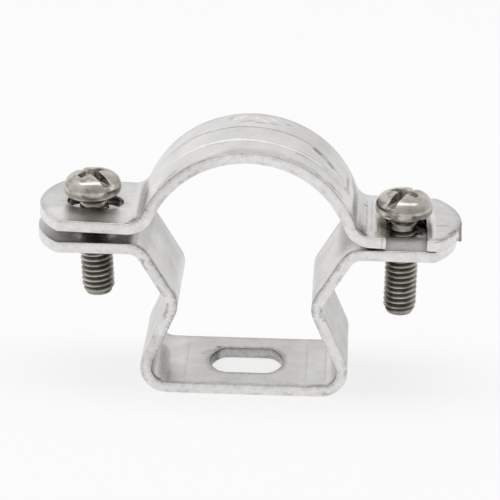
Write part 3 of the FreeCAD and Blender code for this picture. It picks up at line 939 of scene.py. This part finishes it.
class Nodes:
    """Short calls for building the nodes of a material or a world."""

    def __init__(self, owner):
        owner.use_nodes = True
        self.owner = owner
        self.tree = owner.node_tree
        self.shader = self.tree.nodes.get("Principled BSDF")

    def add(self, kind, settings=(), **inputs):
        node = self.tree.nodes.new(kind)
        for key, value in dict(settings).items():
            setattr(node, key, value)
        self.fill(node, **inputs)
        return node

    def fill(self, node, **inputs):
        for key, value in inputs.items():
            self.feed(node, key.replace("_", " "), value)

    def feed(self, node, socket, value):
        target = node.inputs[int(socket) if socket.isdigit() else socket]
        if isinstance(value, bpy.types.NodeSocket):
            self.tree.links.new(value, target)
        else:
            target.default_value = value

    def scaled(self, vector, scale):
        node = self.add("ShaderNodeMapping", Vector=vector, Scale=scale)
        return node.outputs["Vector"]

    def noise(self, vector, scale, detail=3.0, roughness=0.5):
        node = self.add("ShaderNodeTexNoise", Vector=vector, Scale=scale, Detail=detail,
                        Roughness=roughness)
        return node.outputs["Fac"]

    def ramp(self, value, low, high, bottom=0.0, top=1.0):
        node = self.add("ShaderNodeMapRange", Value=value, From_Min=low, From_Max=high,
                        To_Min=bottom, To_Max=top)
        return node.outputs["Result"]

    def maths(self, operation, *values):
        node = self.add("ShaderNodeMath", {"operation": operation})
        for index, value in enumerate(values):
            self.feed(node, str(index), value)
        return node.outputs[0]

    def times(self, first, second):
        return self.maths("MULTIPLY", first, second)

    def plus(self, first, second):
        return self.maths("ADD", first, second)

    def mix(self, share, first, second, blend="MIX"):
        node = self.add("ShaderNodeMix", {"data_type": "RGBA", "blend_type": blend})
        for socket, value in zip("067", (share, first, second)):
            self.feed(node, socket, value)
        return node.outputs[2]

    def over(self, colour, top, share, strength):
        """A colour with another over it, by a share times a strength."""
        return self.mix(self.times(share, strength), colour, top)

    def attribute(self, name, output="Fac"):
        return self.add("ShaderNodeAttribute", {"attribute_name": name}).outputs[output]

    def seen(self):
        """1 for rays that show a surface and 0 for rays that light one."""
        rays = self.add("ShaderNodeLightPath").outputs
        shown = self.maths("MAXIMUM", rays["Is Camera Ray"], rays["Is Glossy Ray"])
        return self.maths("MAXIMUM", shown, rays["Is Transmission Ray"])

    def bump(self, height, strength, distance):
        node = self.add("ShaderNodeBump", Strength=strength, Distance=distance, Height=height)
        self.feed(self.shader, "Normal", node.outputs["Normal"])


def sheet_material(name, light, dark, ribbed):
    """Bare satin sheet: rolling streaks, cloudy patches, torn edges, the marks of the press, and
    painted light and shade.
    """
    nodes = Nodes(bpy.data.materials.new(name))
    blank = nodes.attribute("blank", "Vector")
    cut, lip, jagged, shade = map(nodes.attribute, ("cut", "lip", "jagged", "shade"))
    clouds = nodes.noise(blank, 0.22, 4.0)
    streaks = nodes.noise(nodes.scaled(blank, (0.35, 7.0, 1.0)), 1.0, 2.0)
    grain = nodes.noise(blank, 5.0, 3.0, 0.6)
    tone = nodes.plus(nodes.times(clouds, 0.75), nodes.times(streaks, 0.25))
    colour = nodes.mix(nodes.ramp(tone, 0.38, 0.62), dark, light)
    tint = nodes.ramp(nodes.noise(nodes.scaled(blank, (0.13, 0.3, 1.0)), 1.0, 2.0), 0.42, 0.60)
    greener = nodes.mix(1.0, colour, GREENISH, "MULTIPLY")
    colour = nodes.over(colour, greener, tint, 0.5)

    # The cut faces are lighter than the sheet: partly their own bare finish, and partly painted
    # light, as the front faces catch more light.
    blotches = nodes.noise(nodes.scaled(blank, (0.6, 0.6, 0.9)), 1.0, 3.0, 0.5)
    bare_and_lit_cut = nodes.mix(nodes.ramp(blotches, 0.36, 0.60), CUT_DARK, CUT_LIGHT)
    colour = nodes.over(colour, bare_and_lit_cut, cut, 0.85)

    along = nodes.scaled(blank, (0.8, 0.8, 0.1))
    wander = nodes.maths("MULTIPLY_ADD", nodes.noise(along, 1.0, 4.0, 0.7), 2.2, -0.85)
    crumbs = nodes.maths("MULTIPLY_ADD", nodes.noise(blank, 2.2, 4.0, 0.7), 2.0, -1.0)
    off_line = nodes.maths("ABSOLUTE", nodes.plus(lip, wander))
    off_line = nodes.plus(off_line, crumbs)
    broken = nodes.ramp(nodes.noise(nodes.scaled(blank, (0.33, 0.33, 0.1)), 1.0, 2.0), 0.36, 0.50)
    broken = nodes.maths("MULTIPLY_ADD", broken, 0.7, 0.3)
    rough = nodes.times(nodes.ramp(off_line, 1.05, 0.25), jagged)
    colour = nodes.over(colour, TORN_DARK, rough, 0.45)
    torn = nodes.times(nodes.ramp(off_line, 0.16, -0.12), jagged)
    torn = nodes.times(torn, broken)
    colour = nodes.over(colour, TORN_DARK, torn, 0.8)
    from_low = nodes.maths("SUBTRACT", lip, 1.95)
    low_line = nodes.maths("ABSOLUTE", nodes.plus(from_low, wander))
    low_line = nodes.plus(low_line, crumbs)
    low_torn = nodes.times(nodes.ramp(low_line, 0.40, 0.05), jagged)
    low_torn = nodes.times(low_torn, nodes.maths("SUBTRACT", 1.0, broken))
    colour = nodes.over(colour, TORN_DARK, low_torn, 0.75)

    specks = nodes.ramp(nodes.noise(blank, 1.9, 3.0, 0.6), 0.665, 0.70)
    colour = nodes.over(colour, TORN_DARK, specks, 0.5)

    ragged = nodes.ramp(nodes.noise(blank, 2.2, 4.0, 0.65), 0.3, 0.7, 0.55, 1.3)
    marked_shade = nodes.times(shade, ragged)
    # The shade layer mixes in darker and lighter colour: press marks, wear and grime, and painted
    # shade and light.
    colour = nodes.mix(nodes.ramp(marked_shade, 0.0, -0.9), colour, PAINTED_SHADE_AND_MARK_DARK)
    colour = nodes.mix(nodes.ramp(marked_shade, 0.0, 0.8), colour, PAINTED_LIGHT_AND_MARK_LIGHT)
    if ribbed:
        edges = nodes.add("ShaderNodeSeparateXYZ", Vector=nodes.attribute("rib", "Vector"))
        front, back, present = (edges.outputs[axis] for axis in "XYZ")
        patchy = nodes.ramp(nodes.noise(blank, 0.9, 3.0, 0.6), 0.35, 0.55, 0.45, 1.0)
        present = nodes.times(present, patchy)
        present = nodes.times(present, nodes.maths("SUBTRACT", 1.0, cut))
        # Painted highlight along the rib's front shoulder.
        painted_rib_highlight = nodes.ramp(nodes.maths("ABSOLUTE", front), 0.22, 0.06)
        colour = nodes.over(colour, PAINTED_LIGHT_AND_MARK_LIGHT, painted_rib_highlight, present)
        # Painted shadow along the rib's back edge.
        painted_rib_shadow = nodes.ramp(nodes.maths("ABSOLUTE", nodes.plus(back, 0.45)), 0.46, 0.16)
        painted_rib_shadow = nodes.times(painted_rib_shadow, present)
        colour = nodes.over(colour, PAINTED_SHADE_AND_MARK_DARK, painted_rib_shadow, 0.62)

    # Rougher where the shade layer lightens the colour: at scuffs and at painted light.
    scuffed_and_painted_light = nodes.maths("MAXIMUM", shade, 0.0)
    roughness = nodes.ramp(tone, 0.3, 0.7, 0.27, 0.17)
    nodes.fill(nodes.shader, Base_Color=colour, Metallic=1.0,
               Roughness=nodes.maths("MULTIPLY_ADD", scuffed_and_painted_light, 0.7, roughness))
    relief = nodes.plus(nodes.times(grain, 0.6), nodes.times(streaks, 0.4))
    relief = nodes.maths("SUBTRACT", relief, torn)
    nodes.bump(relief, 0.35, 0.00004)
    return nodes.owner


def screw_material(name):
    """Bright stainless steel with brownish patches that are partly stain and partly painted dark
    reflection, and painted shade down in the thread and the drive.
    """
    nodes = Nodes(bpy.data.materials.new(name))
    place = nodes.add("ShaderNodeTexCoord").outputs["Object"]
    groove = nodes.attribute("groove")
    clouds = nodes.noise(place, 420.0, 4.0, 0.6)
    fine = nodes.noise(place, 2600.0, 3.0)
    colour = nodes.mix(nodes.ramp(clouds, 0.36, 0.64), STEEL_DARK, STEEL_LIGHT)
    # Brownish patches: partly stain, partly painted dark reflection on the heads.
    stain_and_dark_reflection = nodes.ramp(nodes.noise(nodes.scaled(place, (1.0, 1.0, 2.2)), 330.0, 3.0, 0.55),
                        0.54, 0.66)
    colour = nodes.over(colour, STEEL_STAIN_AND_REFLECTION, stain_and_dark_reflection, 0.6)
    # Painted shade down in the thread, in the drive and on the neck under the head.
    deep = nodes.ramp(groove, 0.12, 0.85)
    colour = nodes.over(colour, GROOVE_SHADE, deep, 0.88)
    roughness = nodes.ramp(clouds, 0.3, 0.7, 0.13, 0.22)
    nodes.fill(nodes.shader, Base_Color=colour, Metallic=1.0,
               Roughness=nodes.maths("MULTIPLY_ADD", deep, 0.3, roughness))
    nodes.bump(fine, 0.15, 0.00003)
    return nodes.owner


def dress(piece, material, node, body):
    """Gives a piece its material and says which solid it stands for."""
    piece.data.materials.clear()
    piece.data.materials.append(material)
    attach(piece, body)
    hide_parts(node)


bracket_metal = sheet_material("bracket_metal", BRACKET_LIGHT, BRACKET_DARK, False)
strap_metal = sheet_material("strap_metal", STRAP_LIGHT, STRAP_DARK, True)
steel = screw_material("stainless")
dress(base_piece, bracket_metal, "base_bracket", "base")
dress(strap_piece, strap_metal, "top_strap", "strap")
dress(hinge_screw, steel, "hinge_screw", "hinge_screw")
dress(lock_screw, steel, "lock_screw", "lock_screw")


# ---------------------------------------------------------------- studio

FLOOR_SIZE = 6.0
FLOOR_DROP = 0.00003  # how far the floor lies below the part, so that they don't touch
FLOOR_COLOUR = (0.55, 0.55, 0.55, 1)
FLOOR_GLOW = 0.72  # added to the floor where it is seen or reflected, so that it is white
WORLD_LIT = 0.35  # strength of the world where it lights, and where it is seen
WORLD_SEEN = 1.0
FRONT_LEVEL = 0.6  # the studio is this bright in front and on the right, where 1 is white
RIGHT_LEVEL = 0.75
STRIP_PLACE = (0, 0.05, 1.0)
STRIP_SIZE = (1.3, 0.4)
STRIP_POWER = 2.2
CAMERA_AIM = (0.50, 0.0, 24.12)
CAMERA_DISTANCE = 449.8
CAMERA_ANGLES = (23.418, -2.516, 0.606)  # pitch, yaw and roll in degrees
CAMERA_LENS = 180.0


def floor_material(name, colour):
    """Pale floor that shows white to the camera and in the metal, and keeps a soft shadow."""
    nodes = Nodes(bpy.data.materials.new(name))
    nodes.fill(nodes.shader, Base_Color=colour, Roughness=0.9, Specular_IOR_Level=0.0,
               Emission_Color=(1, 1, 1, 1),
               Emission_Strength=nodes.ramp(nodes.seen(), 0.0, 1.0, 0.0, FLOOR_GLOW))
    return nodes.owner


def add_floor():
    half = FLOOR_SIZE / 2
    mesh = bpy.data.meshes.new("floor")
    corners = [(x * half, y * half, -FLOOR_DROP) for x, y in ((-1, -1), (1, -1), (1, 1), (-1, 1))]
    mesh.from_pydata(corners, [], [(0, 1, 2, 3)])
    floor = linked("floor", mesh)
    floor.data.materials.append(floor_material("floor_white", FLOOR_COLOUR))


def add_world(lit, seen):
    """Soft light of one strength, and of another where it is seen or reflected."""
    world = bpy.data.worlds.new("studio")
    bpy.context.scene.world = world
    nodes = Nodes(world)
    background = nodes.tree.nodes["Background"]
    place = nodes.add("ShaderNodeTexCoord").outputs["Generated"]
    axes = nodes.add("ShaderNodeSeparateXYZ", Vector=place).outputs
    front = nodes.ramp(axes["Y"], -0.8, 0.2, FRONT_LEVEL)
    right = nodes.ramp(axes["X"], 0.9, -0.225, RIGHT_LEVEL)
    nodes.fill(background, Color=nodes.times(front, right),
               Strength=nodes.ramp(nodes.seen(), 0.0, 1.0, lit, seen))


def add_softbox(name, place, size, power):
    """Oblong lamp that points straight down."""
    light = bpy.data.lights.new(name, "AREA")
    light.shape = "RECTANGLE"
    light.size, light.size_y = size
    light.energy = power
    lamp = linked(name, light)
    lamp.location = place


def add_camera():
    pitch, yaw, roll = map(radians, CAMERA_ANGLES)
    aim = Vector(CAMERA_AIM) * MM
    forward = Vector((sin(yaw) * cos(pitch), cos(yaw) * cos(pitch),
                      -sin(pitch)))
    level = Vector((cos(yaw), -sin(yaw), 0))
    upright = level.cross(forward)
    right = level * cos(roll) + upright * sin(roll)
    up = upright * cos(roll) - level * sin(roll)
    data = bpy.data.cameras.new("camera")
    data.sensor_width = 36.0
    data.lens = CAMERA_LENS
    data.clip_start = 0.01
    camera = linked("camera", data)
    turn = Matrix((right, up, -forward)).transposed().to_4x4()
    camera.matrix_world = Matrix.Translation(aim - forward * CAMERA_DISTANCE * MM) @ turn
    bpy.context.scene.camera = camera


add_floor()
add_world(WORLD_LIT, WORLD_SEEN)
add_softbox("strip", STRIP_PLACE, STRIP_SIZE, STRIP_POWER)
add_camera()
bpy.context.scene.view_settings.view_transform = "Standard"
